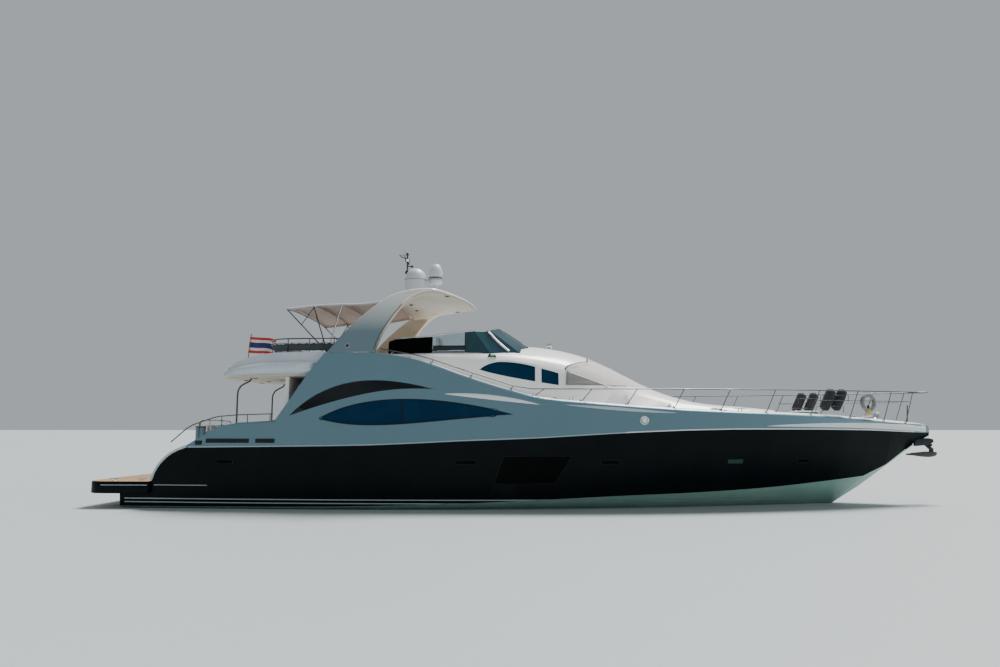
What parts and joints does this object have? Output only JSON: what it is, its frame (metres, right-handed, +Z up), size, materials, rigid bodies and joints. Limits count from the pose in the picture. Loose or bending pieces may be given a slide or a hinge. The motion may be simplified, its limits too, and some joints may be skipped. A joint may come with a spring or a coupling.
{
  "type": "motor yacht",
  "caption": "Flybridge motor yacht afloat: dark hull, silver upper works, swept radar arch, aft cockpit with a swim platform, stainless rails and a shaded upper deck.",
  "frame": {"origin": "on the centreline, at the waterline, half way along the boat", "axes": "+X towards the bow, +Y towards the port side, +Z up; metres"},
  "size_m": [26.4, 6.23, 10.14],
  "materials": {
    "topsides": "high gloss, near black",
    "silver_paint": "gloss, pale metallic silver",
    "white_gelcoat": "gloss, white",
    "white_metal": "satin, white",
    "dark_glass": "tinted dark blue",
    "smoked_glass": "smoked",
    "louvre_black": "matt",
    "stainless": "polished stainless steel",
    "shaft_steel": "ground",
    "bronze": "cast bronze, satin",
    "engine_iron": "painted casting",
    "teak": "oiled",
    "cushion": "soft, pale",
    "canvas": "woven, pale sand",
    "flag_cloth": "light woven cloth",
    "grip_rubber": "satin",
    "fender_rubber": "matt"
  },
  "bodies": {
    "boat": {"hull": "topsides", "swim_platform": "topsides", "hull_window_starboard": "dark_glass", "hull_window_port": "dark_glass", "engine_starboard": "engine_iron", "engine_port": "engine_iron", "strut_starboard": "bronze", "strut_port": "bronze", "superstructure": "silver_paint", "cabin_roof": "white_gelcoat", "flybridge": "silver_paint", "radar_arch": "silver_paint", "eye_window_starboard": "dark_glass", "eye_window_port": "dark_glass", "louvre_starboard": "louvre_black", "louvre_port": "louvre_black", "cabin_window_aft_starboard": "dark_glass", "cabin_window_aft_port": "dark_glass", "cabin_window_fore_starboard": "dark_glass", "cabin_window_fore_port": "dark_glass", "windscreen": "dark_glass", "fly_screen": "smoked_glass", "aft_bulkhead": "white_gelcoat", "fixed_door": "dark_glass", "satellite_dome": "white_gelcoat", "radar": "white_gelcoat", "mast": "white_metal", "bimini_frame": "stainless", "bimini_canopy": "canvas", "bow_rail": "stainless", "aft_rail_starboard": "stainless", "aft_rail_port": "stainless", "fly_rail": "stainless", "overhang_pole_starboard": "stainless", "overhang_pole_port": "stainless", "jackstaff": "stainless", "transom_coaming": "silver_paint", "cockpit_sofa": "cushion", "cockpit_table": "teak", "fly_stairs": "teak", "fly_console": "white_gelcoat", "fly_seat": "cushion", "fly_sofa": "cushion", "fly_table": "teak", "ensign_staff": "teak", "ensign": "flag_cloth", "windlass": "stainless", "anchor": "stainless", "fender_rack_starboard": "fender_rubber", "fender_rack_port": "fender_rubber"},
    "starboard_screw": {"propeller_starboard": "bronze", "shaft_starboard": "shaft_steel"},
    "port_screw": {"propeller_port": "bronze", "shaft_port": "shaft_steel"},
    "starboard_rudder": {"rudder_starboard": "bronze"},
    "port_rudder": {"rudder_port": "bronze"},
    "helm_wheel": {"fly_wheel": "grip_rubber"},
    "saloon_door": {"saloon_door": "dark_glass"},
    "garage_door": {"garage_door": "silver_paint"},
    "foredeck_hatch": {"foredeck_hatch": "white_gelcoat"}
  },
  "joints": [
    {"name": "starboard_screw_spin", "type": "hinge", "parent": "boat", "child": "starboard_screw", "pos_m": [-9.15, -1.05, -1.18], "axis": [0.9945, 0, 0.1045], "continuous": true},
    {"name": "port_screw_spin", "type": "hinge", "parent": "boat", "child": "port_screw", "pos_m": [-9.15, 1.05, -1.18], "axis": [0.9945, 0, 0.1045], "continuous": true},
    {"name": "starboard_rudder_turn", "type": "hinge", "parent": "boat", "child": "starboard_rudder", "pos_m": [-10.08, -1.05, -0.64], "axis": [0, 0, 1], "range_deg": [-35, 35]},
    {"name": "port_rudder_turn", "type": "hinge", "parent": "boat", "child": "port_rudder", "pos_m": [-10.08, 1.05, -0.64], "axis": [0, 0, 1], "range_deg": [-35, 35]},
    {"name": "helm_wheel_turn", "type": "hinge", "parent": "boat", "child": "helm_wheel", "pos_m": [-1.715, -0.7, 4.93], "axis": [0.8829, 0, -0.4695], "range_deg": [-525, 525]},
    {"name": "saloon_door_slide", "type": "slide", "parent": "boat", "child": "saloon_door", "axis": [0, 1, 0], "range_m": [0, 1.25]},
    {"name": "garage_door_swing", "type": "hinge", "parent": "boat", "child": "garage_door", "pos_m": [-10.448, 0, 1.554], "axis": [0, 1, 0], "range_deg": [0, 85]},
    {"name": "foredeck_hatch_swing", "type": "hinge", "parent": "boat", "child": "foredeck_hatch", "pos_m": [9.54, 0, 2.896], "axis": [0, 1, 0], "range_deg": [0, 100]}
  ],
  "couplings": [
    {"joint": "port_rudder_turn", "follows": "starboard_rudder_turn", "ratio": 1},
    {"joint": "helm_wheel_turn", "follows": "starboard_rudder_turn", "ratio": 15}
  ]
}
